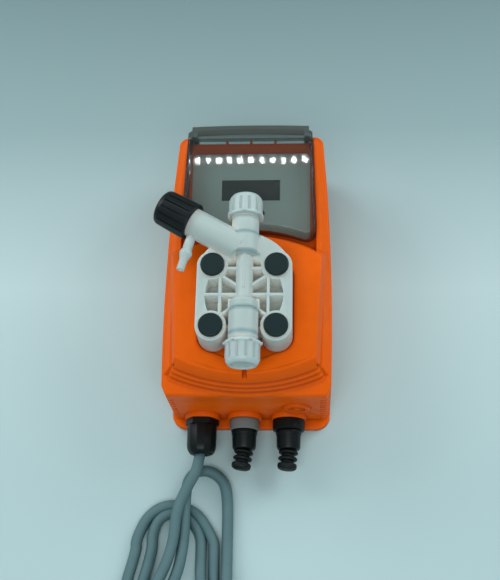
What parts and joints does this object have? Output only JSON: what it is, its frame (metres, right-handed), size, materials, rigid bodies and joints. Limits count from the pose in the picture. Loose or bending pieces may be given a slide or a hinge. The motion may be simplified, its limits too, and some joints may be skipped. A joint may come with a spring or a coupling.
{
  "type": "diaphragm metering pump",
  "caption": "Electromagnetic diaphragm metering pump with ribbed head, ball valves, bleed valve, smoked panel cover, cable gland and signal connectors.",
  "frame": {"origin": "on the flat back, on the middle line, 106 mm below the discharge end of the housing", "axes": "+Z out of the front, +Y toward the discharge valve, +X to the right seen from the front"},
  "size_m": [0.1613, 0.4254, 0.1291],
  "materials": {
    "housing": "satin orange moulding",
    "seal": "black seal rubber",
    "steel": "turned stainless steel",
    "panel": "grey membrane panel",
    "window": "dark clear window",
    "board_parts": "dark display module",
    "button": "dark grey keys",
    "board": "green circuit board",
    "smoked": "smoked clear cover",
    "steel_plate": "grey plate",
    "magnet": "plain magnet iron",
    "copper": "taped copper winding",
    "brass": "bronze bush",
    "white_rubber": "white faced diaphragm",
    "milky": "milky natural plastic",
    "milky_dark": "natural plastic",
    "nut": "translucent natural plastic",
    "cap": "blue-black satin caps",
    "knob": "black satin knob",
    "ceramic": "polished ceramic ball",
    "gland": "black gland",
    "connector": "black connector",
    "collar_grey": "grey collar",
    "collar_black": "black collar",
    "boot": "matte black bellows",
    "cord": "grey cord sheath",
    "plug": "grey moulded plug",
    "chrome": "plated pins"
  },
  "bodies": {
    "root": {"rear_shell": "housing", "front_shell": "housing", "shell_gasket": "seal", "shell_screws": "steel", "control_panel": "panel", "display_window": "window", "display_module": "board_parts", "circuit_board": "board", "cover_pins": "steel", "head_backplate": "steel_plate", "solenoid_yoke": "magnet", "solenoid_coil": "copper", "fixed_core": "magnet", "guide_bush": "brass", "return_spring": "steel", "diaphragm": "white_rubber", "pump_head": "milky", "head_bolts": "steel", "head_washers": "steel", "bolt_caps": "cap", "bleed_o_ring": "seal", "discharge_valve_body": "milky", "discharge_seat": "milky_dark", "discharge_insert": "milky_dark", "discharge_o_ring": "seal", "suction_valve_body": "milky", "suction_seat": "milky_dark", "suction_insert": "milky_dark", "suction_o_ring": "seal", "gland_body": "gland", "gland_seal": "seal", "gland_nut": "gland", "gland_locknut": "gland", "input_socket": "connector", "input_collar": "collar_grey", "input_plug": "connector", "input_boot": "boot", "level_socket": "connector", "level_collar": "collar_black", "level_plug": "connector", "level_boot": "boot", "power_cord": "cord", "cord_coil": "cord", "mains_plug": "plug", "plug_pins": "chrome"},
    "cover": {"smoked_cover": "smoked"},
    "key_left": {"button_left": "button"},
    "key_centre": {"button_centre": "button"},
    "key_right": {"button_right": "button"},
    "rod": {"plunger": "magnet", "push_rod": "steel", "diaphragm_insert": "steel"},
    "bleed_stem": {"bleed_spindle": "milky_dark"},
    "bleed_cap": {"bleed_knob": "knob"},
    "outlet_nut": {"discharge_nut": "nut"},
    "inlet_nut": {"suction_nut": "nut"},
    "outlet_ball": {"discharge_ball": "ceramic"},
    "inlet_ball": {"suction_ball": "ceramic"}
  },
  "joints": [
    {"name": "cover_hinge", "type": "hinge", "parent": "root", "child": "cover", "pos_m": [0, 0.1043, 0.07], "axis": [-1, 0, 0], "range_deg": [0, 6]},
    {"name": "key_left_press", "type": "slide", "parent": "root", "child": "key_left", "axis": [0, 0, -1], "range_m": [0, 0.0008], "stiffness_N_per_m": 500},
    {"name": "key_centre_press", "type": "slide", "parent": "root", "child": "key_centre", "axis": [0, 0, -1], "range_m": [0, 0.0008], "stiffness_N_per_m": 500},
    {"name": "key_right_press", "type": "slide", "parent": "root", "child": "key_right", "axis": [0, 0, -1], "range_m": [0, 0.0008], "stiffness_N_per_m": 500},
    {"name": "stroke", "type": "slide", "parent": "root", "child": "rod", "axis": [0, 0, 1], "range_m": [0, 0.0012], "stiffness_N_per_m": 2000, "deforming": ["return_spring"]},
    {"name": "bleed_lift", "type": "slide", "parent": "root", "child": "bleed_stem", "axis": [-0.866, 0.5, 0], "range_m": [0, 0.00075]},
    {"name": "bleed_turn", "type": "hinge", "parent": "bleed_stem", "child": "bleed_cap", "pos_m": [-0.04936, 0.0187, 0.115], "axis": [-0.866, 0.5, 0], "range_deg": [0, 180]},
    {"name": "outlet_nut_turn", "type": "hinge", "parent": "root", "child": "outlet_nut", "pos_m": [0, 0.0154, 0.115], "axis": [0, 1, 0], "continuous": true},
    {"name": "inlet_nut_turn", "type": "hinge", "parent": "root", "child": "inlet_nut", "pos_m": [0, -0.0788, 0.115], "axis": [0, -1, 0], "continuous": true},
    {"name": "outlet_ball_lift", "type": "slide", "parent": "root", "child": "outlet_ball", "axis": [0, 1, 0], "range_m": [0, 0.0015]},
    {"name": "inlet_ball_lift", "type": "slide", "parent": "root", "child": "inlet_ball", "axis": [0, 1, 0], "range_m": [0, 0.0015]}
  ],
  "couplings": [
    {"joint": "bleed_lift", "follows": "bleed_turn", "m_per_rad": 0.00023873}
  ]
}
